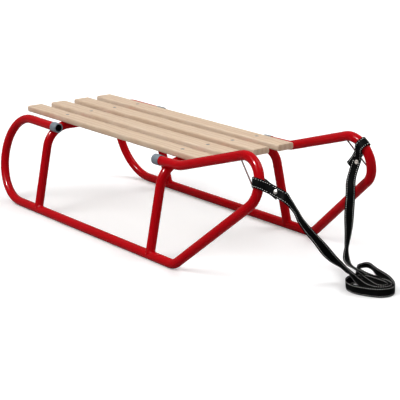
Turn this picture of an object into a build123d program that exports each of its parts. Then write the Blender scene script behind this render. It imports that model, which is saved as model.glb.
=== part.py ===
from build123d import *
import math
import os

os.makedirs("parts", exist_ok=True)

# A child's sled: two bent tube runners, two cross arches, four wooden slats and a pull strap.
# Millimetres. +X is the way it travels, +Y its left side, +Z up; the runners stand on Z = 0.

# steel tube
tube_d = 20.0
tube_wall = 1.2
tube_r = tube_d / 2

# runner, drawn in its own leaning plane: x along the sled, h up the lean from the bottom run
track_half = 184.8        # centre of a bottom run from the middle of the sled
lean_deg = 11.6           # the runner planes lean in towards each other
loop_height = 198.0       # from the bottom run to the top run, centre to centre
end_drop = 1.5            # how much lower the open ends of the top runs are
rear_reach = 474.6        # middle of the sled to the centre line of the rear bend
rear_top_run = 221.0      # from the rear bend's corner to the tube's open end
foot_corner = (253.0, 0.0)                      # the bottom run turns up to the horn
knee_corner = (472.2, loop_height - 22.4)       # the slope turns up into the horn
brow_corner = (482.2, loop_height + 77.1)       # the horn turns back
saddle_corner = (222.0, loop_height)            # the horn's top comes level beside the seat
front_top_run = 84.0      # from the saddle's corner to the tube's open end
rear_bend = 0.495 * loop_height
foot_bend = 40.0
knee_bend = 50.0
brow_bend = 50.0
saddle_bend = 80.0

# seat slats
slat_count = 4
slat_length = 705.0
slat_rear_x = -440.0
slat_width = 41.0
slat_thickness = 14.0
slat_pitch = 65.2
seat_rise = 18.4          # slats' tops above the centre of the runners' top runs
slat_round = 4.0          # long edges
slat_end_round = 1.2
slat_seat = 0.5           # how deep the tube beds into the wood

# cross arches, placed from the slats' ends
rear_overhang = 150.0
front_overhang = 98.0
arch_bend = 57.0
foot_lift = 2.0           # from a bottom run's centre line to where a leg's sides end

# plastic ferrules on the open tube ends
ferrule_wall = 1.2
ferrule_grip = 20.0       # length that grips the tube
ferrule_lip = 2.0         # thickness of the ring over the tube's end
ferrule_hole_r = 8.6

# wire that keeps the strap from sliding off the horn, a chord inside the bend
keeper_d = 3.0
keeper_top = (414.0, loop_height + 46.0)
keeper_foot = (461.0, loop_height + 1.1)
keeper_bury = 6.0         # both ends run into the tube's wall and are cut to it

# pull strap
strap_width = 20.0
strap_thick = 1.8
right_loop_gap = 2.2      # between the strap and the horn's tube
left_loop_gap = 3.0
left_loop_sag = 2.0       # the looser loop hangs from its horn
layer_gap = 0.3           # between the two riveted layers
fold_reach = 22.0         # horn's centre to where the two layers come together
fold_bend = 12.0
leg_reach = 28.0          # horn's centre to where the top layer counts as the leg
right_rivet_reach = 38.0
left_rivet_reach = 32.0
right_tail_reach = 44.0   # horn's centre to the cut end of the under layer
left_tail_reach = 49.0
right_tail_skew = 6.0     # how far the tail's end sits to one side of the top layer
left_tail_skew = -12.0
right_stem_reach = 61.0   # horn's centre to where the leg turns away
left_stem_reach = 66.0
rivet_head_r = 4.5
rivet_head_h = 2.2
rivet_shank_r = 2.0
washer_h = 0.8
strap_step = 12.0         # spacing of the strap's sections
right_loop_deg = 8.6      # where each loop sits round the horn's upper bend
left_loop_deg = 48.0
right_stem = (36.0, 9.0, -11.5)    # from the horn's tube towards the rivet
left_stem = (-8.0, -5.0, -33.0)
edge_up = (0.0, 0.0, 1.0)
right_leg = [             # point, then the way the strap's width runs there
    ((535.0, -106.0, 173.0), (-0.46, 0.67, 0.60)),
    ((529.0, -85.0, 143.0), (-0.42, 0.70, 0.60)),
    ((527.0, -41.0, 97.0), (-0.05, 0.78, 0.63)),
    ((530.0, -7.0, 58.0), (0.20, 0.78, 0.60)),
    ((533.0, 18.0, 31.0), (0.10, 0.70, 0.70)),
    ((556.0, 38.0, 14.0), edge_up),
]
left_leg = [
    ((448.5, 115.0, 151.0), (-0.59, -0.81, 0.0)),
    ((451.0, 109.0, 110.0), (-0.59, -0.81, 0.0)),
    ((452.0, 106.5, 72.0), (0.05, -1.0, 0.0)),
    ((455.0, 97.5, 38.0), (0.50, -0.80, 0.20)),
    ((472.0, 84.0, 17.0), (0.40, -0.85, 0.35)),
    ((500.0, 70.0, 12.0), (0.0, -0.60, 0.80)),
    ((536.0, 60.0, 11.0), edge_up),
]
coil_centre = (592.0, 37.0)
coil_half_length = 52.0
coil_half_width = 37.0
coil_turn_deg = 12.7
coil_tip = (523.0, 93.0)      # the loop that strays out of the coil, back towards the sled
coil_tip_r = 13.0
coil_hole_r = 8.0
coil_hole = (545.0, 77.0)     # the gap inside that loop
route_share = 0.45        # part of the shorter run that an arc may use

lean = math.radians(lean_deg)
rear_tube_end = rear_top_run - rear_reach
front_tube_end = saddle_corner[0] - front_top_run
rear_arch_x = slat_rear_x + rear_overhang
front_arch_x = slat_rear_x + slat_length - front_overhang
slat_top = tube_r + loop_height * math.cos(lean) + seat_rise


def unit(v):
    return v * (1.0 / v.length)


def corner_arc(a, b, c, radius):
    """The start, middle, end and centre of the arc that rounds corner b."""
    to_a, to_c = unit(a - b), unit(c - b)
    half = math.radians(to_a.get_angle(to_c)) / 2
    inward = unit(to_a + to_c)
    centre = b + inward * (radius / math.sin(half))
    reach = radius / math.tan(half)
    return b + to_a * reach, centre - inward * radius, b + to_c * reach, centre


def bent_wire(points, radii):
    """Straight runs through the points, joined by tangent arcs of the given radii."""
    points = [Vector(*p) for p in points]
    edges, last = [], points[0]
    for i, radius in enumerate(radii):
        start, middle, end, _ = corner_arc(points[i], points[i + 1], points[i + 2], radius)
        if (start - last).length > 0.01:
            edges.append(Edge.make_line(last, start))
        edges.append(Edge.make_three_point_arc(start, middle, end))
        last = end
    edges.append(Edge.make_line(last, points[-1]))
    return Wire(edges)


def swept_round(path, diameter):
    """A solid rod along a path."""
    start = Plane(origin=path @ 0, z_dir=path % 0)
    return sweep(start * Circle(diameter / 2), path=path)


def save(node, solid):
    solid.label = node
    export_step(solid, f"parts/{node}.step")
    print(f"{node}: {solid.volume / 1000:.2f} cm3")


def on_runner(x, h, side):
    """A point of a runner's leaning plane; side is +1 for the left runner."""
    return (x, side * (track_half - h * math.sin(lean)), tube_r + h * math.cos(lean))


end_height = loop_height - end_drop
runner_route = [
    (rear_tube_end, end_height), (-rear_reach, loop_height), (-rear_reach, 0.0),
    foot_corner, knee_corner, brow_corner, saddle_corner, (front_tube_end, end_height),
]
runner_bends = [rear_bend, rear_bend, foot_bend, knee_bend, brow_bend, saddle_bend]


def make_runner(side):
    path = bent_wire([on_runner(x, h, side) for x, h in runner_route], runner_bends)
    outer = swept_round(path, tube_d)
    bore = swept_round(path, tube_d - 2 * tube_wall)
    return outer, outer - bore


slat_bottom = slat_top - slat_thickness
crossbar_z = slat_bottom + slat_seat - tube_r
shoulder_h = (crossbar_z - tube_r) / math.cos(lean)


def make_arch(x, runner_outers):
    """Two leaning legs and a crossbar in one tube, its feet cut to sit on the runners."""
    left_foot, right_foot = on_runner(x, foot_lift, 1), on_runner(x, foot_lift, -1)
    left_shoulder, right_shoulder = on_runner(x, shoulder_h, 1), on_runner(x, shoulder_h, -1)
    path = bent_wire([left_foot, left_shoulder, right_shoulder, right_foot],
                     [arch_bend, arch_bend])
    outer = swept_round(path, tube_d)
    arch = outer - swept_round(path, tube_d - 2 * tube_wall)
    for runner in runner_outers:
        arch = arch - runner
    return outer, arch.solids().sort_by(SortBy.VOLUME)[-1]


def make_slat(y, arch_outers):
    section = Plane.YZ * RectangleRounded(slat_width, slat_thickness, slat_round)
    board = extrude(section, slat_length)
    ends = board.faces().filter_by(Axis.X)
    board = fillet(ends.edges(), slat_end_round)
    board = Pos(slat_rear_x, y, slat_top - slat_thickness / 2) * board
    for arch in arch_outers:
        board = board - arch
    return board


def make_ferrule(x_end, way, side):
    """A sleeve over a tube end with an open ring lip; way is the direction the end faces."""
    sleeve = Circle(tube_r + ferrule_wall) - Circle(tube_r)
    ring = Circle(tube_r + ferrule_wall) - Circle(ferrule_hole_r)
    body = extrude(sleeve, ferrule_grip) + Pos(0, 0, ferrule_grip) * extrude(ring, ferrule_lip)
    rim = body.edges().filter_by(GeomType.CIRCLE).sort_by(Axis.Z)[-2:]
    body = fillet(rim.sort_by(SortBy.RADIUS)[-1], 0.8)
    bend_x = -rear_reach if way > 0 else saddle_corner[0]
    end = Vector(*on_runner(x_end, end_height, side))
    along = unit(end - Vector(*on_runner(bend_x, loop_height, side)))
    return Plane(origin=end - along * ferrule_grip, z_dir=along) * body


def make_keeper(side, runner_outer):
    top, foot = Vector(*on_runner(*keeper_top, side)), Vector(*on_runner(*keeper_foot, side))
    along = unit(foot - top)
    top, foot = top - along * keeper_bury, foot + along * keeper_bury
    rod = Plane(origin=top, z_dir=along) * extrude(Circle(keeper_d / 2), (foot - top).length)
    return (rod - runner_outer).solids().sort_by(SortBy.VOLUME)[-1]


runner_outers = []
for name, side in (("left", 1), ("right", -1)):
    outer, runner = make_runner(side)
    runner_outers.append(outer)
    save(f"runner_{name}", runner)
    save(f"keeper_{name}", make_keeper(side, outer))
    save(f"ferrule_rear_{name}", make_ferrule(rear_tube_end, 1, side))
    save(f"ferrule_front_{name}", make_ferrule(front_tube_end, -1, side))

arch_outers = []
for name, x in (("rear", rear_arch_x), ("front", front_arch_x)):
    outer, arch = make_arch(x, runner_outers)
    arch_outers.append(outer)
    save(f"arch_{name}", arch)

for i in range(slat_count):
    y = (i - (slat_count - 1) / 2) * slat_pitch
    save(f"slat_{i + 1}", make_slat(y, arch_outers))


def strap_stations(points, radii):
    """(place, way, distance) along a rounded route, and the distance at each point."""
    points = [Vector(*p) for p in points]
    stations = [(points[0], unit(points[1] - points[0]), 0.0)]
    marks = [0.0]

    def run_to(end):
        start, way, distance = stations[-1]
        gap = (end - start).length
        pieces = max(1, round(gap / strap_step))
        for k in range(1, pieces + 1):
            stations.append((start + (end - start) * (k / pieces), way,
                             distance + gap * k / pieces))

    for a, b, c, radius in zip(points, points[1:], points[2:], radii):
        start, _, _, centre = corner_arc(a, b, c, radius)
        run_to(start)
        way, outward = unit(b - a), unit(start - centre)
        turn = math.radians((b - a).get_angle(c - b))
        distance = stations[-1][2]
        marks.append(distance + radius * turn / 2)
        pieces = max(2, round(math.degrees(turn) / 15))
        for k in range(1, pieces + 1):
            angle = turn * k / pieces
            stations.append((centre + (outward * math.cos(angle) + way * math.sin(angle)) * radius,
                             way * math.cos(angle) - outward * math.sin(angle),
                             distance + radius * angle))
    run_to(points[-1])
    marks.append(stations[-1][2])
    return stations, marks


def ribbon(node, points, radii, widths):
    """A flat strap along a route; widths holds the way its width runs at each point."""
    stations, marks = strap_stations(points, radii)
    sections = []
    for place, way, distance in stations:
        k = max(i for i in range(len(marks) - 1) if marks[i] <= distance + 0.001)
        share = (distance - marks[k]) / (marks[k + 1] - marks[k])
        width = Vector(*widths[k]) * (1 - share) + Vector(*widths[k + 1]) * share
        width = unit(width - way * width.dot(way))
        sections.append(Plane(origin=place, x_dir=width, z_dir=way)
                        * Rectangle(strap_width, strap_thick))
    strap = loft(sections, ruled=True)
    length = stations[-1][2]
    print(f"{node}: {length:.0f} mm of strap, radii {[round(r) for r in radii]}, "
          f"volume {strap.volume / (length * strap_width * strap_thick):.3f} of its section")
    return strap


def loose_radii(points):
    """The largest arcs that the runs of a loose strap leave room for."""
    points = [Vector(*p) for p in points]
    radii = []
    for a, b, c in zip(points, points[1:], points[2:]):
        turn = math.radians((b - a).get_angle(c - b))
        radii.append(route_share * min((b - a).length, (c - b).length) / math.tan(turn / 2))
    return radii


def horn_place(angle_deg, side):
    """A point on the horn's upper bend and the way the tube runs there."""
    knee, brow, saddle = (Vector(x, h, 0) for x, h in (knee_corner, brow_corner, saddle_corner))
    centre = corner_arc(knee, brow, saddle, brow_bend)[3]
    angle = math.radians(angle_deg)
    x, h = centre.X + brow_bend * math.cos(angle), centre.Y + brow_bend * math.sin(angle)
    here = Vector(*on_runner(x, h, side))
    ahead = Vector(*on_runner(x - math.sin(angle), h + math.cos(angle), side))
    return here, unit(ahead - here)


def make_strap_end(name, side, angle_deg, gap, sag, stem, reach, leg, coil):
    """The loop round a horn with its tail, the rivet, and the leg that runs to the coil."""
    rivet_reach, tail_reach, tail_skew, stem_reach = reach
    horn, tube_way = horn_place(angle_deg, side)
    stem = unit(Vector(*stem))
    slant = stem.dot(tube_way)
    down = unit(stem - tube_way * slant)
    across = down.cross(tube_way)
    if across.dot(Vector(1, -1, 0)) < 0:
        across = across * -1
    slant = slant / stem.dot(down)
    horn += down * sag

    def place(x, y, skew=0.0):
        return tuple(horn + down * x + tube_way * (slant * max(x, 0) - skew) + across * y)

    # in the plane square to the tube: the route touches a circle round it on both sides
    wrap, layer = tube_r + gap + strap_thick / 2, (strap_thick + layer_gap) / 2
    to_fold = math.hypot(fold_reach, layer)
    touch_angle = math.atan2(layer, fold_reach) + math.acos(wrap / to_fold)
    touch_x, touch_y = wrap * math.cos(touch_angle), wrap * math.sin(touch_angle)
    rise = (touch_y - layer) / (fold_reach - touch_x)
    corner_y = touch_y + rise * (touch_x + wrap)

    loop_route = [place(tail_reach, -layer, tail_skew), place(fold_reach, -layer),
                  place(-wrap, -corner_y), place(-wrap, corner_y),
                  place(fold_reach, layer), place(leg_reach, layer)]
    along_tube = tuple(tube_way)
    loop = ribbon(f"strap_loop_{name}", loop_route, [fold_bend, wrap, wrap, fold_bend],
                  [along_tube] * len(loop_route))
    leg_route = [place(leg_reach, layer), place(stem_reach, layer)] + [p for p, w in leg]
    leg = ribbon(f"strap_leg_{name}", leg_route, loose_radii(leg_route),
                 [along_tube, along_tube] + [w for p, w in leg])
    leg = (leg - coil).solids().sort_by(SortBy.VOLUME)[-1]

    rivet_seat = Plane(origin=place(rivet_reach, 0), z_dir=across)
    grip = layer + strap_thick / 2
    shank = Pos(0, 0, -grip) * extrude(Circle(rivet_shank_r), 2 * grip)
    head = extrude(Circle(rivet_head_r), rivet_head_h)
    head = fillet(head.edges().filter_by(GeomType.CIRCLE).sort_by(Axis.Z)[-1], rivet_head_h - 0.4)
    washer = extrude(Circle(rivet_head_r), washer_h)
    rivet = shank + Pos(0, 0, grip) * head + Pos(0, 0, -grip - washer_h) * washer
    hole = rivet_seat * shank
    save(f"strap_loop_{name}", loop - hole)
    save(f"strap_leg_{name}", leg - hole)
    save(f"strap_rivet_{name}", rivet_seat * rivet)


coil_outline = make_hull([
    *(Pos(*coil_centre) * Rot(0, 0, coil_turn_deg)
      * Ellipse(coil_half_length, coil_half_width)).edges(),
    *(Pos(*coil_tip) * Circle(coil_tip_r)).edges(),
])
coil_body = extrude(coil_outline, strap_width)
save("strap_coil", coil_body - Pos(*coil_hole) * extrude(Circle(coil_hole_r), strap_width))
make_strap_end("right", -1, right_loop_deg, right_loop_gap, 0.0, right_stem,
               (right_rivet_reach, right_tail_reach, right_tail_skew, right_stem_reach),
               right_leg, coil_body)
make_strap_end("left", 1, left_loop_deg, left_loop_gap, left_loop_sag, left_stem,
               (left_rivet_reach, left_tail_reach, left_tail_skew, left_stem_reach),
               left_leg, coil_body)
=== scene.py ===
import bpy
import bmesh
import math
import random
from mathutils import Matrix, Vector


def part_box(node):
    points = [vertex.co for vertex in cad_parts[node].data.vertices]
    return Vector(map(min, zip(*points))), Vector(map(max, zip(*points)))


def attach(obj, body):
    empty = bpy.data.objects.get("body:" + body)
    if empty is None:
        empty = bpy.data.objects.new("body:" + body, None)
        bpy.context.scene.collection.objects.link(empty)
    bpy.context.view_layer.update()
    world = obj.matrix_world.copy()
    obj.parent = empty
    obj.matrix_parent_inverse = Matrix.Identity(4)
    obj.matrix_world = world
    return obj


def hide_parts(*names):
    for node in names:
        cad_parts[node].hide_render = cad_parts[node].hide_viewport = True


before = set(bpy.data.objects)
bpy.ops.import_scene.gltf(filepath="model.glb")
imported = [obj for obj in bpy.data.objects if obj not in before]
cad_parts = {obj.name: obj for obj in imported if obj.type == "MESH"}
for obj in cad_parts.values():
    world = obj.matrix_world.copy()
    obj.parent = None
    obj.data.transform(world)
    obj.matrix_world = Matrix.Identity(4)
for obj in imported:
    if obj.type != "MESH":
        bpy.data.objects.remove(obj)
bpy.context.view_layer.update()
scene = bpy.context.scene
scene.view_settings.view_transform = "Standard"
random.seed(7)

# camera
camera = {
    "place": (2.4575, -1.7332, 0.8726),
    "aim": (0.1711, -0.0577, 0.1069),
    "roll": -0.687,
    "lens": 125.8,
}
cameraData = bpy.data.cameras.new("viewCamera")
cameraData.lens = camera["lens"]
cameraData.sensor_width = 36
viewCamera = bpy.data.objects.new("viewCamera", cameraData)
scene.collection.objects.link(viewCamera)
viewCamera.location = camera["place"]
look = Vector(camera["aim"]) - Vector(camera["place"])
roll = Matrix.Rotation(math.radians(camera["roll"]), 3, "Z")
viewCamera.rotation_euler = (look.to_track_quat("-Z", "Y").to_matrix() @ roll).to_euler()
scene.camera = viewCamera
print("camera set")


class Wire:                    # a socket that works in sums
    def __init__(self, tree, socket):
        self.tree = tree
        self.socket = socket

    def maths(self, operation, first, second):
        made = self.tree.nodes.new("ShaderNodeMath")
        made.operation = operation
        for socket, value in zip(made.inputs, (first, second)):
            if isinstance(value, Wire):
                self.tree.links.new(value.socket, socket)
            else:
                socket.default_value = value
        return Wire(self.tree, made.outputs[0])

    def __add__(self, other):
        return self.maths("ADD", self, other)

    def __sub__(self, other):
        return self.maths("SUBTRACT", self, other)

    def __rsub__(self, other):
        return self.maths("SUBTRACT", other, self)

    def __mul__(self, other):
        return self.maths("MULTIPLY", self, other)

    __radd__ = __add__


class Finish:                  # one material and its nodes
    def __init__(self, name, **constants):
        self.material = bpy.data.materials.new(name)
        self.material.use_nodes = True
        self.tree = self.material.node_tree
        self.shader = self.tree.nodes["Principled BSDF"]
        for label, value in constants.items():
            self.shader.inputs[label.replace("_", " ")].default_value = value

    def node(self, kind, settings=None, sockets=None, out=0):
        made = self.tree.nodes.new(kind)
        for label, value in (settings or {}).items():
            if label == "stops":
                while len(made.color_ramp.elements) < len(value):
                    made.color_ramp.elements.new(0.5)
                for stop, (place, colour) in zip(made.color_ramp.elements, value):
                    stop.position = place
                    stop.color = colour
            else:
                setattr(made, label, value)
        for label, value in (sockets or {}).items():
            if isinstance(value, Wire):
                self.tree.links.new(value.socket, made.inputs[label])
            else:
                made.inputs[label].default_value = value
        return Wire(self.tree, made.outputs[out])

    def place(self, scale=(1, 1, 1), uv=None):
        if uv:
            where = self.node("ShaderNodeUVMap", {"uv_map": uv})
        else:
            where = self.node("ShaderNodeTexCoord", out="Object")
        return self.node("ShaderNodeMapping", None, {"Vector": where, "Scale": scale})

    def noise(self, vector, scale, detail, roughness=0.5):
        sockets = {"Vector": vector, "Scale": scale, "Detail": detail, "Roughness": roughness}
        return self.node("ShaderNodeTexNoise", None, sockets)

    def wave(self, vector, scale, distortion, direction):
        sockets = {"Vector": vector, "Scale": scale, "Distortion": distortion}
        return self.node("ShaderNodeTexWave", {"bands_direction": direction}, sockets, "Fac")

    def mix(self, factor, first, second):
        return self.node("ShaderNodeMix", {"data_type": "RGBA"}, {0: factor, 6: first, 7: second}, 2)

    def ramp(self, factor, *stops):
        return self.node("ShaderNodeValToRGB", {"stops": stops}, {"Fac": factor})

    def bump(self, height, strength, distance):
        sockets = {"Height": height, "Strength": strength, "Distance": distance}
        self.feed("Normal", self.node("ShaderNodeBump", None, sockets))

    def feed(self, label, wire):
        self.tree.links.new(wire.socket, self.shader.inputs[label])


colours = {                    # as they show, 0 to 255
    "red": ((184, 0, 11), (203, 0, 15), (218, 5, 22)),                                 # deep, full, speck
    "wood": ((213, 180, 148), (226, 199, 171), (236, 214, 191), (190, 150, 115)),      # dark to pale, fleck
    "strap": ((1, 2, 2), (9, 10, 10)),
    "thread": ((226, 226, 222), (252, 251, 247)),
    "plastic": ((116, 126, 136), (134, 144, 154)),
    # painted shade: near black for the ferrule's deep bore, where the hole lies in shade
    "paintedBoreShade": ((5, 5, 6), (17, 14, 15)),
    # dark steel wire; its red cast is a painted reflection of the red tubes
    "wire": ((88, 34, 32), (112, 54, 50)),
    "nickel": ((184, 178, 172), (226, 222, 216)),
    "zinc": ((92, 102, 114), (140, 150, 160)),
}


def tints(look):
    made = []
    for colour in colours[look]:
        linear = [((c / 255 + 0.055) / 1.055) ** 2.4 if c > 10 else c / 3294.6 for c in colour]   # from sRGB
        made.append((*linear, 1))
    return made


def redPaint():
    paint = Finish("redPaint", Specular_IOR_Level=0.1)
    deep, full, bright = tints("red")
    drift = paint.noise(paint.place(), 14.0, 2.0)
    speck = paint.noise(paint.place(), 900.0, 2.0)
    paint.feed("Base Color", paint.mix(speck * 0.3, paint.mix(drift, deep, full), bright))
    paint.feed("Roughness", 0.09 + drift * 0.06)
    paint.bump(paint.noise(paint.place(), 420.0, 1.0), 0.03, 0.001)   # orange peel
    return paint.material


def beechWood():
    wood = Finish("beechWood", Specular_IOR_Level=0.3)
    dark, middle, pale, brown = tints("wood")
    broad = wood.noise(wood.place((1.6, 34, 34)), 1.0, 3.0, 0.55)
    fine = wood.noise(wood.place((9, 260, 260)), 1.0, 4.0, 0.6)
    fleck = wood.noise(wood.place((70, 900, 420)), 1.0, 2.0)
    rings = wood.wave(wood.place((0.5, 1, 0.7)), 26.0, 5.0, "Y")
    tone = broad * 0.45 + fine * 0.3 + rings * 0.25
    grain = wood.ramp(tone, (0.2, dark), (0.48, middle), (0.8, pale))
    wood.feed("Base Color", wood.mix((fleck - 0.6) * 2.0, grain, brown))
    wood.feed("Roughness", 0.42 + fine * 0.2)
    wood.bump(fine * 0.6 + fleck * 0.4, 0.12, 0.0008)
    return wood.material


def blackStrap():
    strap = Finish("blackStrap", Specular_IOR_Level=0.03)
    band = strap.place(uv="strapMap")      # x across the band, y along it, in metres
    weave = strap.wave(band, 220.0, 0.6, "Y")
    ribs = strap.wave(band, 150.0, 0.3, "X")
    worn = strap.noise(band, 90.0, 3.0)
    strap.feed("Base Color", strap.mix(worn * 0.7 + weave * 0.2, *tints("strap")))
    strap.feed("Roughness", 0.5 + worn * 0.2)
    strap.bump(weave * 0.5 + ribs * 0.5, 0.18, 0.0004)
    return strap.material


def plainFinish(name, look, cloud, rough, stretch=(1, 1, 1), relief=None, **constants):
    made = Finish(name, **constants)
    shade = made.noise(made.place(stretch), *cloud)                    # scale, detail
    made.feed("Base Color", made.mix(shade, *tints(look)))
    made.feed("Roughness", rough[0] + shade * rough[1])                # least, swing
    if relief:
        scale, detail, strength, distance = relief
        made.bump(made.noise(made.place(), scale, detail), strength, distance)
    return made.material


finishes = {
    "red": redPaint(),
    "wood": beechWood(),
    "strap": blackStrap(),
    "thread": plainFinish("paleThread", "thread", (1800, 2), (0.7, 0.15), Specular_IOR_Level=0.2),
    "plastic": plainFinish("greyPlastic", "plastic", (60, 3), (0.34, 0.14), relief=(1500, 2, 0.05, 0.0004),
                           Specular_IOR_Level=0.35),
    # painted shade for the ferrules' bores, on the same grey plastic
    "paintedBoreShade": plainFinish("paintedBoreShadeFinish", "paintedBoreShade", (300, 2), (0.8, 0.1), Specular_IOR_Level=0.1),
    # dark steel with a painted red reflection of the tubes
    "wire": plainFinish("darkWireWithPaintedRedReflection", "wire", (1, 2), (0.35, 0.2), stretch=(40, 40, 900),
                        Specular_IOR_Level=0.15),
    "nickel": plainFinish("nickel", "nickel", (700, 3), (0.22, 0.2), relief=(700, 3, 0.05, 0.0003),
                          Metallic=1.0),
    "zinc": plainFinish("zincScrew", "zinc", (900, 3), (0.4, 0.2), Metallic=0.8),
}
print("finishes ready")


def deselect():
    bpy.ops.object.select_all(action="DESELECT")


def choose(*pieces):
    deselect()
    for piece in pieces:
        piece.select_set(True)
    bpy.context.view_layer.objects.active = pieces[0]


def startPiece(name):          # names what an operator has just made, and settles its place and size
    piece = bpy.context.object
    piece.name = name
    piece.data.name = name
    bpy.ops.object.transform_apply(location=True, rotation=True, scale=True)
    return piece


def meshObject(name, vertices, faces):
    mesh = bpy.data.meshes.new(name)
    mesh.from_pydata(vertices, [], faces)
    piece = bpy.data.objects.new(name, mesh)
    scene.collection.objects.link(piece)
    return piece


def outward(piece):
    shape = bmesh.new()
    shape.from_mesh(piece.data)
    bmesh.ops.remove_doubles(shape, verts=shape.verts, dist=1e-7)
    bmesh.ops.recalc_face_normals(shape, faces=shape.faces)
    shape.to_mesh(piece.data)
    shape.free()


def smooth(piece, angle):
    choose(piece)
    bpy.ops.object.shade_smooth_by_angle(angle=math.radians(angle))


def soften(piece, width, segments, angle):
    choose(piece)
    rounding = piece.modifiers.new("rounding", "BEVEL")
    rounding.width = width
    rounding.segments = segments
    rounding.limit_method = "ANGLE"
    rounding.angle_limit = math.radians(angle)
    bpy.ops.object.modifier_apply(modifier="rounding")


def selectTop(piece, height):
    shape = bmesh.from_edit_mesh(piece.data)
    for face in shape.faces:
        face.select_set(False)
    for face in shape.faces:
        face.select_set(face.normal.z > 0.99 and face.calc_center_median().z > height)
    shape.select_flush_mode()
    bmesh.update_edit_mesh(piece.data)


def ringFaces(rings, around, closed=False):    # quads between rings of equal count
    faces = []
    for k in range(rings if closed else rings - 1):
        here, there = k * around, (k + 1) % rings * around
        for j in range(around):
            n = (j + 1) % around
            faces.append((here + j, here + n, there + n, there + j))
    return faces


def dress(piece, slot, *looks):
    piece.data.materials.clear()
    for one in looks:
        piece.data.materials.append(finishes[one])
    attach(piece, "root")
    return piece


# pull strap: a flat stitched band, looped round both horns
strap = {
    "width": 0.020,
    "length": 1.31,
    "edge": ((-10, 0.30), (-9.5, 0.72), (-8.5, 0.84), (-7.7, 0.72), (-6.8, 0.88), (-3.6, 0.96), (0, 1.0)),
    "layer": 0.00105,          # from the rivet's middle to each of the two layers it holds
    "neck": (0.022, 0.028),    # where a loop's upper tail ends, from the horn's middle
    "seam": 0.0071,            # stitched lines, from the middle
    "pitch": 0.0045,           # from one stitch to the next
    "stitch": (0.0025, 0.0012),            # long, wide
    "stitchRings": ((1.0, 1.0, 0.00055), (0.72, 0.6, 0.00102)),    # share of long and of wide, height
    "stitchSkew": 0.06,
}
halfEdge = strap["edge"]       # mm from the middle, mm of half thickness
crown = [*halfEdge, *[(-across, lift) for across, lift in reversed(halfEdge[:-1])]]
section = [(a / 1000, t / 1000) for a, t in crown] + [(a / 1000, -t / 1000) for a, t in reversed(crown)]


def strapLine(name, points):
    curve = bpy.data.curves.new(name, "CURVE")
    curve.dimensions = "3D"
    curve.resolution_u = 8
    spline = curve.splines.new("NURBS")
    spline.points.add(len(points) - 1)
    for knot, point in zip(spline.points, points):
        knot.co = (*point, 1)
    spline.order_u = 3         # after the points, or it stays at 2
    spline.use_endpoint_u = True
    holder = bpy.data.objects.new(name, curve)
    scene.collection.objects.link(holder)
    line = [vertex.co.copy() for vertex in bpy.data.meshes.new_from_object(holder).vertices]
    bpy.data.objects.remove(holder)
    return line


def strapFrames(line, widths):
    spans = len(widths) - 2
    marks = [0.0, *[i + 0.5 for i in range(spans)], float(spans)]    # where each point pulls the line most
    frames = []
    travelled = 0.0
    for k, place in enumerate(line):
        way = (line[min(k + 1, len(line) - 1)] - line[max(k - 1, 0)]).normalized()
        u = k * spans / (len(line) - 1)
        i = max(j for j in range(len(marks) - 1) if marks[j] <= u + 1e-9)
        share = (u - marks[i]) / (marks[i + 1] - marks[i])
        across = widths[i].lerp(widths[i + 1], share)
        across = (across - way * across.dot(way)).normalized()
        if k:
            travelled += (place - line[k - 1]).length
        frames.append((place, way, across, way.cross(across), travelled))
    return frames


def stitchAt(frames, distance, across, face):
    k = max(1, next((j for j, one in enumerate(frames) if one[4] >= distance), len(frames) - 1))
    before, after = frames[k - 1], frames[k]
    share = (distance - before[4]) / max(after[4] - before[4], 1e-9)
    middle, way, side = (first.lerp(second, share) for first, second in zip(before[:3], after[:3]))
    way.normalize()
    side.normalize()
    up = way.cross(side) * face
    long, wide = strap["stitch"]
    skew = random.uniform(-strap["stitchSkew"], strap["stitchSkew"])
    corners = []
    for reach, spread, lift in strap["stitchRings"]:
        for a, b in ((-1, -1), (1, -1), (1, 1), (-1, 1)):
            along = a * long / 2 * reach
            off = b * wide / 2 * spread + along * skew
            corners.append(middle + way * along + side * (across + off) + up * lift)
    return corners


def makeStrap(name, points, widths):
    line = strapLine(name + "Line", points)
    frames = strapFrames(line, widths)
    around = len(section)
    vertices = [place + across * a + up * t for place, _, across, up, _ in frames for a, t in section]
    faces = ringFaces(len(frames), around)
    faces.append(tuple(range(around)))
    faces.append(tuple(range((len(frames) - 1) * around, len(frames) * around)))
    bandFaces = len(faces)
    boxFaces = ((0, 1, 2, 3), (4, 5, 6, 7), (0, 1, 5, 4), (1, 2, 6, 5), (2, 3, 7, 6), (3, 0, 4, 7))
    for i in range(int(frames[-1][4] / strap["pitch"])):
        distance = (i + 0.5) * strap["pitch"]
        for across in (-strap["seam"], strap["seam"]):
            for face in (1, -1):
                start = len(vertices)
                vertices.extend(stitchAt(frames, distance, across, face))
                for one in boxFaces:
                    faces.append(tuple(start + c for c in one))
    piece = meshObject(name, vertices, faces)
    uv = piece.data.uv_layers.new(name="strapMap")
    for face in piece.data.polygons:
        for corner in face.loop_indices:
            ring, spot = divmod(piece.data.loops[corner].vertex_index, around)
            if ring < len(frames):
                uv.data[corner].uv = (section[spot][0], frames[ring][4])
    outward(piece)
    smooth(piece, 50)
    dress(piece, "webbing", "strap", "thread")
    for face in piece.data.polygons:
        face.material_index = int(face.index >= bandFaces)
    print(f"{name}: {frames[-1][4]:.3f} m")
    return piece, line


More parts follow.
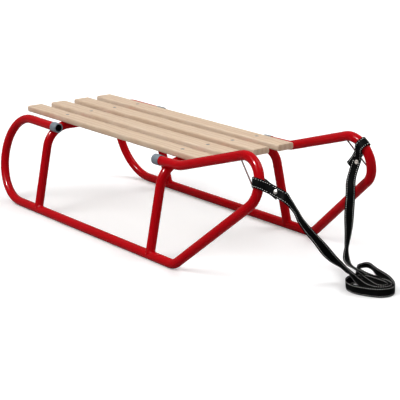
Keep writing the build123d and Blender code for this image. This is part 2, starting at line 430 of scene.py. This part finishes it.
onEdge = (0, 0, 1)             # the band stands on its edge
pullRoute = [                  # place in mm, way of the width
    # near horn, down to the ground
    (502.8, -135.8, 210.4, -0.15, 0.20, 0.97),
    (520.9, -131.3, 204.7, -0.15, 0.20, 0.97),
    (535.9, -127.6, 199.9, -0.28, 0.42, 0.86),
    (535.5, -105, 173, -0.53, 0.82, 0.15),
    (529, -85, 143, -0.40, 0.87, 0.28),
    (527, -41, 97, -0.22, 0.74, 0.63),
    (529, -7, 57.5, 0.68, 0.48, 0.53),
    (526, 26, 32.5, 0.91, -0.08, 0.40),
    (545, 23, 29.5, 0.46, -0.50, 0.73),
    (557, 20, 26, 0.16, -0.31, 0.94),
    (571, 17.5, 22, 0.05, -0.10, 1),
    (583, 16.5, 18, *onEdge), (600, 16, 13, *onEdge),
    # inner turn at the far end
    (619, 20, 11, *onEdge), (634, 32, 11, *onEdge), (636, 48, 11, *onEdge), (626, 62, 11, *onEdge),
    (610, 69, 11, *onEdge), (594, 66, 11, *onEdge), (576, 62, 11, *onEdge), (557, 61, 12, *onEdge),
    # the fold that stands up at the back
    (540, 63, 13, 0.02, 0, 1), (527, 62, 15, 0.12, 0.02, 0.99), (517, 70, 17.5, 0.31, -0.03, 0.95),
    (514, 84, 20, 0.62, -0.15, 0.77), (518, 95.5, 21, 0.42, -0.52, 0.73), (531, 97, 20.5, 0.12, -0.45, 0.88),
    (546, 90.5, 19, 0.06, -0.28, 0.96), (559, 86, 17.5, 0.09, -0.16, 0.98), (570, 84.5, 16, 0.05, -0.10, 1),
    (583, 83, 14.5, *onEdge), (599, 80, 13, *onEdge), (614, 74, 12, *onEdge), (630, 65, 11, *onEdge),
    # outer turn and the front of the coil
    (641, 55, 11, *onEdge), (648, 38, 11, *onEdge), (642, 19, 11, *onEdge),
    (628, 8, 11, 0.05, -0.08, 1), (611, -1, 11, 0, -0.14, 1), (592, -7, 11, 0, -0.14, 1),
    (574, -5, 11, -0.05, -0.12, 1), (559, 3, 11, -0.05, -0.05, 1),
    (549, 16, 11, *onEdge), (546, 33, 11, *onEdge), (551, 46, 11, *onEdge),
    (561, 56, 11, *onEdge), (579, 58, 11, *onEdge), (599, 59, 11, *onEdge), (615, 58, 11, *onEdge),
    (626, 50, 11, *onEdge), (625, 37, 11, *onEdge), (613, 33, 11, *onEdge), (597, 37, 11.5, *onEdge),
    # over the rim and up to the far horn
    (580, 37.5, 15.5, 0, -0.15, 0.98), (563, 39.5, 22.5, -0.05, -0.45, 0.88),
    (546, 43.5, 26.5, -0.20, -0.78, 0.58),
    (530, 51, 26, -0.28, -0.88, 0.38), (513, 60, 23, -0.25, -0.90, 0.35), (493, 72, 20, -0.15, -0.89, 0.43),
    (472, 84.5, 20, -0.09, -0.91, 0.40), (455.5, 98.3, 38, 0.43, -0.87, 0.25), (452.5, 106.5, 72, 0, -1, 0),
    (450.5, 109.2, 110, -0.59, -0.81, 0),
    (448.5, 114.3, 151, -0.59, -0.81, 0), (438.8, 121.9, 178.1, -0.74, -0.13, 0.66),
    (449.6, 129.1, 217.7, -0.74, -0.13, 0.66),
]
pullPoints = [Vector(one[:3]) / 1000 for one in pullRoute]
pullWidths = [Vector(one[3:]).normalized() for one in pullRoute]
pullStrap, pullLine = makeStrap("pullStrap", pullPoints, pullWidths)
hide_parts("strap_leg_right", "strap_leg_left", "strap_coil")

# where each loop goes round its horn: the lower tail's points give their reach, skew and distance
# from the upper tail, and the rivet gives its reach and skew
hornEnds = {
    "right": {
        "horn": (0.474442, -0.141874, 0.219120),
        "down": (0.940182, 0.331848, 0.077035),        # from the horn to the tails
        "tube": (-0.149535, 0.198817, 0.968561),       # along the horn's tube
        "slant": -0.409833,    # how far the tails drift along the tube as they leave
        "wrap": 0.0131,        # from the tube's middle to the band's
        "under": ((0.044, 0.004, 0.0006), (0.038, 0.0025, 0), (0.030, 0.001, 0), (0.022, 0, 0)),
        "rivet": (0.038, 0),
    },
    "left": {
        "horn": (0.457231, 0.135408, 0.246698),
        "down": (-0.614869, -0.249104, -0.748253),
        "tube": (-0.743145, -0.134547, 0.655464),
        "slant": -0.445598,
        "wrap": 0.0139,
        "under": ((0.051, -0.0135, 0), (0.042, -0.0095, 0), (0.032, -0.006, 0), (0.022, -0.004, 0)),
        "rivet": (0.032, 0.0012),
    },
}
# round the tube: the angle of each corner and half of its turn, in degrees
wrapCorners = ((-73, 17), (-112.5, 22.5), (-157.5, 22.5), (157.5, 22.5), (112.5, 22.5), (73, 17))
for end in hornEnds.values():
    for label in ("horn", "down", "tube"):
        end[label] = Vector(end[label])
    across = end["down"].cross(end["tube"])
    end["across"] = across if across.y < 0 else -across    # both face the near side


def besideHorn(end, x, y, skew=0.0):
    along = end["slant"] * max(x, 0) - skew
    return end["horn"] + end["down"] * x + end["tube"] * along + end["across"] * y


def makeLoop(side):
    end = hornEnds[side]
    points = [besideHorn(end, x, -strap["layer"] - away, skew) for x, skew, away in end["under"]]
    skew = end["under"][-1][1]
    for i, (angle, halfTurn) in enumerate(wrapCorners):
        reach = end["wrap"] / math.cos(math.radians(halfTurn))
        x, y = reach * math.cos(math.radians(angle)), reach * math.sin(math.radians(angle))
        points.append(besideHorn(end, x, y, skew * (1 - min(1, i / 3))))
    points.extend(besideHorn(end, x, strap["layer"]) for x in strap["neck"])
    loop, _ = makeStrap("strapLoop" + side.capitalize(), points, [end["tube"]] * len(points))
    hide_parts("strap_loop_" + side)
    return loop


loops = [makeLoop("right"), makeLoop("left")]

# rivets: one shows its dome, the other its rolled rim
rivet = {
    "grip": 0.00195,           # from the strap's middle to each half
    "radius": 0.0045,
    "flange": 0.0006,
    "dome": ((0.0006, 0.9), (0.0005, 0.8), (0.0003, 0.6), (0.0001, 0.3)),     # rise, share of the width kept
    "rim": ((0.18, 0.0007), (0.34, -0.0009)),  # inset as a share of the radius, rise
    "well": 0.8,               # how far its floor narrows
    "soft": 0.00022,
}


def halfRivet(domed):
    deselect()
    bpy.ops.mesh.primitive_cylinder_add(vertices=32, radius=rivet["radius"], depth=rivet["flange"],
                                        location=(0, 0, rivet["flange"] / 2))
    half = startPiece("rivetHalf")
    bpy.ops.object.mode_set(mode="EDIT")
    bpy.ops.mesh.select_mode(type="FACE")
    selectTop(half, rivet["flange"] / 2)
    if domed:
        for rise, share in rivet["dome"]:
            bpy.ops.mesh.extrude_region_move(TRANSFORM_OT_translate={"value": (0, 0, rise)})
            bpy.ops.transform.resize(value=(share, share, 1), center_override=(0, 0, 0))
    else:
        for share, rise in rivet["rim"]:
            bpy.ops.mesh.inset(thickness=rivet["radius"] * share)
            bpy.ops.mesh.extrude_region_move(TRANSFORM_OT_translate={"value": (0, 0, rise)})
        bpy.ops.transform.resize(value=(rivet["well"], rivet["well"], 1), center_override=(0, 0, 0))
    bpy.ops.object.mode_set(mode="OBJECT")
    soften(half, rivet["soft"], 2, 35)
    return half


def makeRivet(side, domeOutside):
    end = hornEnds[side]
    reach, skew = end["rivet"]
    halves = []
    for face in (1, -1):
        half = halfRivet((face == 1) == domeOutside)
        turn = (end["across"] * face).to_track_quat("Z", "Y").to_matrix().to_4x4()
        half.matrix_world = Matrix.Translation(besideHorn(end, reach, face * rivet["grip"], skew)) @ turn
        halves.append(half)
    choose(*halves)
    bpy.ops.object.join()
    whole = startPiece("rivet" + side.capitalize())
    outward(whole)
    smooth(whole, 40)
    dress(whole, "rivet", "nickel")
    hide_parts("strap_rivet_" + side)
    return whole


rivets = [makeRivet("right", True), makeRivet("left", False)]
print("pull strap done")

# seat slats: one is made, the others are copies, and all rest on the two arches
arch = {
    "places": (-0.290, 0.167),
    "radius": 0.010,
    "barHeight": 0.198856,     # of the crossbar's middle
}
slat = {
    "count": 4,
    "round": 0.004,
    "endRound": 0.0012,
    "sink": ((0.0003, 0.0049), (-0.0040, 0.0018)),   # screw hole: height from the top, radius
}
slatLow, slatHigh = (Vector(v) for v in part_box("slat_1"))
slatMiddle = (slatLow + slatHigh) / 2
slatSize = slatHigh - slatLow
slatStep = (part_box("slat_4")[0][1] - slatLow.y) / (slat["count"] - 1)


def pickEdges(piece, wanted):
    shape = bmesh.from_edit_mesh(piece.data)
    for edge in shape.edges:
        edge.select_set(False)
    for edge in shape.edges:
        if wanted(*(vertex.co for vertex in edge.verts)):
            edge.select_set(True)
    bmesh.update_edit_mesh(piece.data)


def cut(piece, cutter):
    choose(piece)
    saw = piece.modifiers.new("saw", "BOOLEAN")
    saw.operation = "DIFFERENCE"
    saw.solver = "EXACT"
    saw.object = cutter
    bpy.ops.object.modifier_apply(modifier="saw")
    bpy.data.objects.remove(cutter)


deselect()
bpy.ops.mesh.primitive_cube_add(size=1, location=slatMiddle, scale=slatSize)
board = startPiece("slat1")
bpy.ops.object.mode_set(mode="EDIT")
bpy.ops.mesh.select_mode(type="EDGE")
pickEdges(board, lambda a, b: abs(a.x - b.x) > 0.1)
bpy.ops.mesh.bevel(offset=slat["round"], segments=5, affect="EDGES")
pickEdges(board, lambda a, b: abs(a.x - b.x) < 1e-5 and abs(abs(a.x - slatMiddle.x) - slatSize.x / 2) < 1e-5)
bpy.ops.mesh.bevel(offset=slat["endRound"], segments=3, affect="EDGES")
bpy.ops.object.mode_set(mode="OBJECT")
(highAt, wide), (lowAt, narrow) = slat["sink"]
for barX in arch["places"]:
    deselect()
    bpy.ops.mesh.primitive_cylinder_add(vertices=64, radius=arch["radius"], depth=0.06,
                                        location=(barX, slatMiddle.y, arch["barHeight"]),
                                        rotation=(math.pi / 2, 0, 0))
    cut(board, bpy.context.object)
    deselect()
    bpy.ops.mesh.primitive_cone_add(vertices=32, radius1=narrow, radius2=wide, depth=highAt - lowAt,
                                    location=(barX, slatMiddle.y, slatHigh.z + (highAt + lowAt) / 2))
    cut(board, bpy.context.object)
outward(board)
smooth(board, 25)
slats = [board]
for i in range(1, slat["count"]):
    copy = bpy.data.objects.new(f"slat{i + 1}", board.data.copy())
    scene.collection.objects.link(copy)
    copy.data.transform(Matrix.Translation((0, slatStep * i, 0)))
    slats.append(copy)
for i, one in enumerate(slats):
    dress(one, "beech", "wood")
    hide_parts(f"slat_{i + 1}")
print("slats done")

# countersunk screws, one in each slat over each crossbar
screw = {
    "radius": 0.0045,
    "neck": 0.0021,
    "below": 0.0004,           # from the slat's top to the head's
    "deep": 0.0016,
    "crown": (0.0005, 0.00015),            # inset, rise
    "cross": (0.0038, 0.0009, 0.0016),
    "crossTurn": 20,
}
deselect()
bpy.ops.mesh.primitive_cone_add(vertices=32, radius1=screw["neck"], radius2=screw["radius"],
                                depth=screw["deep"], location=(0, 0, -screw["deep"] / 2))
head = startPiece("screwHead")
bpy.ops.object.mode_set(mode="EDIT")
bpy.ops.mesh.select_mode(type="FACE")
selectTop(head, -0.0001)
bpy.ops.mesh.inset(thickness=screw["crown"][0])
bpy.ops.transform.translate(value=(0, 0, screw["crown"][1]))
bpy.ops.object.mode_set(mode="OBJECT")
for angle in (screw["crossTurn"], screw["crossTurn"] + 90):
    deselect()
    bpy.ops.mesh.primitive_cube_add(size=1, location=(0, 0, 0), rotation=(0, 0, math.radians(angle)),
                                    scale=screw["cross"])
    cut(head, bpy.context.object)
outward(head)
smooth(head, 30)
for i in range(slat["count"]):
    for k, barX in enumerate(arch["places"]):
        copy = bpy.data.objects.new(f"screw{i + 1}{'rf'[k]}", head.data.copy())    # rear, front
        scene.collection.objects.link(copy)
        spin = Matrix.Rotation(0.7 * i + 1.3 * k, 4, "Z")      # no two heads stand alike
        at = (barX, slatMiddle.y + slatStep * i, slatHigh.z - screw["below"])
        copy.data.transform(Matrix.Translation(at) @ spin)
        dress(copy, "beech", "zinc")
bpy.data.objects.remove(head)
print("screws done")

# ferrules on the open tube ends
ferrule = {
    "radius": 0.0112,
    "length": 0.022,
    "grip": 0.020,             # how much of it covers the tube
    "hole": 0.0083,
    "deep": 0.014,
    "taper": 0.94,             # the hole's floor against its mouth
    "rim": 0.0008,
    "aside": 0.145288,
    "height": 0.202487,
    "ends": {"rear": (-0.2536, 1, 0.00665), "front": (0.138, -1, 0.01750)},    # place, way out, fall
    "splay": 0.2,              # sideways for each bit of fall
}


def makeFerrule(where, hand):
    x, way, fall = ferrule["ends"][where]
    side = 1 if hand == "left" else -1
    tubeEnd = Vector((x, side * ferrule["aside"], ferrule["height"]))
    out = Vector((way, side * fall * ferrule["splay"], -fall))
    deselect()
    bpy.ops.mesh.primitive_cylinder_add(vertices=48, radius=ferrule["radius"], depth=ferrule["length"],
                                        location=(0, 0, ferrule["length"] / 2 - ferrule["grip"]))
    cap = startPiece("ferrule" + where.capitalize() + hand.capitalize())
    bpy.ops.object.mode_set(mode="EDIT")
    bpy.ops.mesh.select_mode(type="FACE")
    selectTop(cap, 0)
    bpy.ops.mesh.inset(thickness=ferrule["radius"] - ferrule["hole"])
    bpy.ops.mesh.extrude_region_move(TRANSFORM_OT_translate={"value": (0, 0, -ferrule["deep"])})
    bpy.ops.transform.resize(value=(ferrule["taper"], ferrule["taper"], 1), center_override=(0, 0, 0))
    bpy.ops.object.mode_set(mode="OBJECT")
    soften(cap, ferrule["rim"], 3, 50)
    cap.matrix_world = Matrix.Translation(tubeEnd) @ out.to_track_quat("Z", "Y").to_matrix().to_4x4()
    choose(cap)
    bpy.ops.object.transform_apply(location=True, rotation=True, scale=True)
    outward(cap)
    smooth(cap, 35)
    dress(cap, "grey_plastic", "plastic", "paintedBoreShade")
    out.normalize()
    # faces in the bore take the near-black painted shade, the rest keep the grey plastic
    for face in cap.data.polygons:
        spot = Vector(face.center) - tubeEnd
        reach = (spot - out * spot.dot(out)).length
        inBore = reach < ferrule["hole"] * 0.995 and spot.dot(out) < 0.0012
        face.material_index = int(inBore)
    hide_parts(f"ferrule_{where}_{hand}")


for where in ferrule["ends"]:
    for hand in ("right", "left"):
        makeFerrule(where, hand)
print("ferrules done")

# weld beads where the arch legs stand on the bottom tubes
weld = {
    "half": 0.1848,            # from the middle to the foot of a leg
    "lean": 11.6,
    "bead": 0.0015,
    "lift": 0.0003,
    "ripples": (17, 0.10, 0.05),           # how many, how deep, how uneven
    "thinnest": 0.35,          # share of the bead that is left at the tube's sides
    "rings": 72,
    "around": 8,
}


def makeWeld(name, x, side):
    lean = math.radians(weld["lean"])
    upward = Vector((0, -side * math.sin(lean), math.cos(lean)))
    aside = Vector((0, side * math.cos(lean), math.sin(lean)))
    forward = Vector((1, 0, 0))
    foot = Vector((x, side * weld["half"], arch["radius"]))
    ripples, deep, uneven = weld["ripples"]
    steps = [2 * math.pi * n / weld["around"] for n in range(weld["around"])]
    vertices = []
    for k in range(weld["rings"]):
        turn = 2 * math.pi * k / weld["rings"]
        away = forward * math.cos(turn) + aside * math.sin(turn)
        saddle = arch["radius"] * abs(math.cos(turn)) + weld["lift"]       # follows the tube's top
        middle = foot + away * arch["radius"] + upward * saddle
        size = weld["bead"] * (1 + deep * math.sin(turn * ripples) + random.uniform(-uneven, uneven))
        size *= weld["thinnest"] + (1 - weld["thinnest"]) * abs(math.cos(turn)) ** 0.5
        vertices.extend(middle + away * size * math.cos(a) + upward * size * math.sin(a) for a in steps)
    bead = meshObject(name, vertices, ringFaces(weld["rings"], weld["around"], closed=True))
    outward(bead)
    smooth(bead, 60)
    dress(bead, "red_steel", "red")


for where, archX in zip(("Rear", "Front"), arch["places"]):
    for side, hand in ((-1, "Right"), (1, "Left")):
        makeWeld("weld" + where + hand, archX, side)
print("welds done")

# the bent tubes and wires keep their own shapes and get their finish
tubeLooks = {"runner": "red", "arch": "red", "keeper": "wire"}
for name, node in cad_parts.items():
    look = tubeLooks.get(name.split("_")[0])
    if look:
        node.data.materials.clear()
        node.data.materials.append(finishes[look])
print("tubes painted")

# floor, which keeps the soft shadow and shows white
studio = {
    "floor": 30,
    "floorGrey": 0.34,       # what the object sees of it
    "floorFibre": 1.03,      # how much paler its fibres are
    "floorLift": 0.20,       # how much white the camera sees added
    "sky": ((0.0, 0.26), (0.30, 0.30), (0.75, 0.42), (1.0, 0.45)),   # height of the sky, its strength
    "lamps": {               # strength, where from, softness in degrees, lights more than the gloss
        "keyLight": (1.45, (-0.15, -0.80, 1.0), 40, True),
        "backLight": (1.05, (0.35, 0.60, 1.0), 38, True),
        "glintLight": (11.0, (-0.15, -0.80, 1.0), 6, False),
    },
}
deselect()
bpy.ops.mesh.primitive_plane_add(size=studio["floor"], location=(0, 0, 0))
floor = startPiece("floor")
bpy.ops.object.mode_set(mode="EDIT")
bpy.ops.mesh.subdivide(number_cuts=3)
bpy.ops.object.mode_set(mode="OBJECT")
ground = Finish("floorPaper", Specular_IOR_Level=0.0, Roughness=1.0)
ground.shader.inputs["Emission Color"].default_value = (1, 1, 1, 1)
seen = ground.node("ShaderNodeLightPath", out="Is Camera Ray")
through = ground.node("ShaderNodeLightPath", out="Is Transmission Ray")
grey = studio["floorGrey"]
pale = grey * studio["floorFibre"]
paper = ground.mix(ground.noise(ground.place(), 4.0, 2.0), (grey, grey, grey, 1), (pale, pale, pale, 1))
ground.feed("Base Color", ground.mix(seen + through, paper, (1, 1, 1, 1)))
ground.feed("Emission Strength", seen * studio["floorLift"])
floor.data.materials.append(ground.material)

# sky, dim for the object and white for the camera
world = bpy.data.worlds.new("studioWorld")
scene.world = world
world.use_nodes = True
sky = world.node_tree
background = sky.nodes["Background"]
ray = sky.nodes.new("ShaderNodeLightPath")
direction = sky.nodes.new("ShaderNodeTexCoord")
split = sky.nodes.new("ShaderNodeSeparateXYZ")
sky.links.new(direction.outputs["Generated"], split.inputs[0])
level = sky.nodes.new("ShaderNodeValToRGB")
stops = level.color_ramp.elements
while len(stops) < len(studio["sky"]):
    stops.new(0.5)
for stop, (height, strength) in zip(stops, studio["sky"]):
    stop.position = height
    stop.color = (strength, strength, strength, 1)
sky.links.new(split.outputs["Z"], level.inputs["Fac"])
lit = Wire(sky, level.outputs["Color"])
bright = Wire(sky, ray.outputs["Is Camera Ray"]) + Wire(sky, ray.outputs["Is Transmission Ray"])
sky.links.new((bright * (1 - lit) + lit).socket, background.inputs["Strength"])
background.inputs["Color"].default_value = (1, 1, 1, 1)

for label, (strength, where, soft, matte) in studio["lamps"].items():
    deselect()
    bpy.ops.object.light_add(type="SUN", location=(0, 0, 3))
    lamp = bpy.context.object
    lamp.name = label
    lamp.data.name = label
    lamp.data.energy = strength
    lamp.data.angle = math.radians(soft)
    lamp.visible_diffuse = matte
    lamp.rotation_euler = (-Vector(where)).to_track_quat("-Z", "Y").to_euler()
print("studio done")
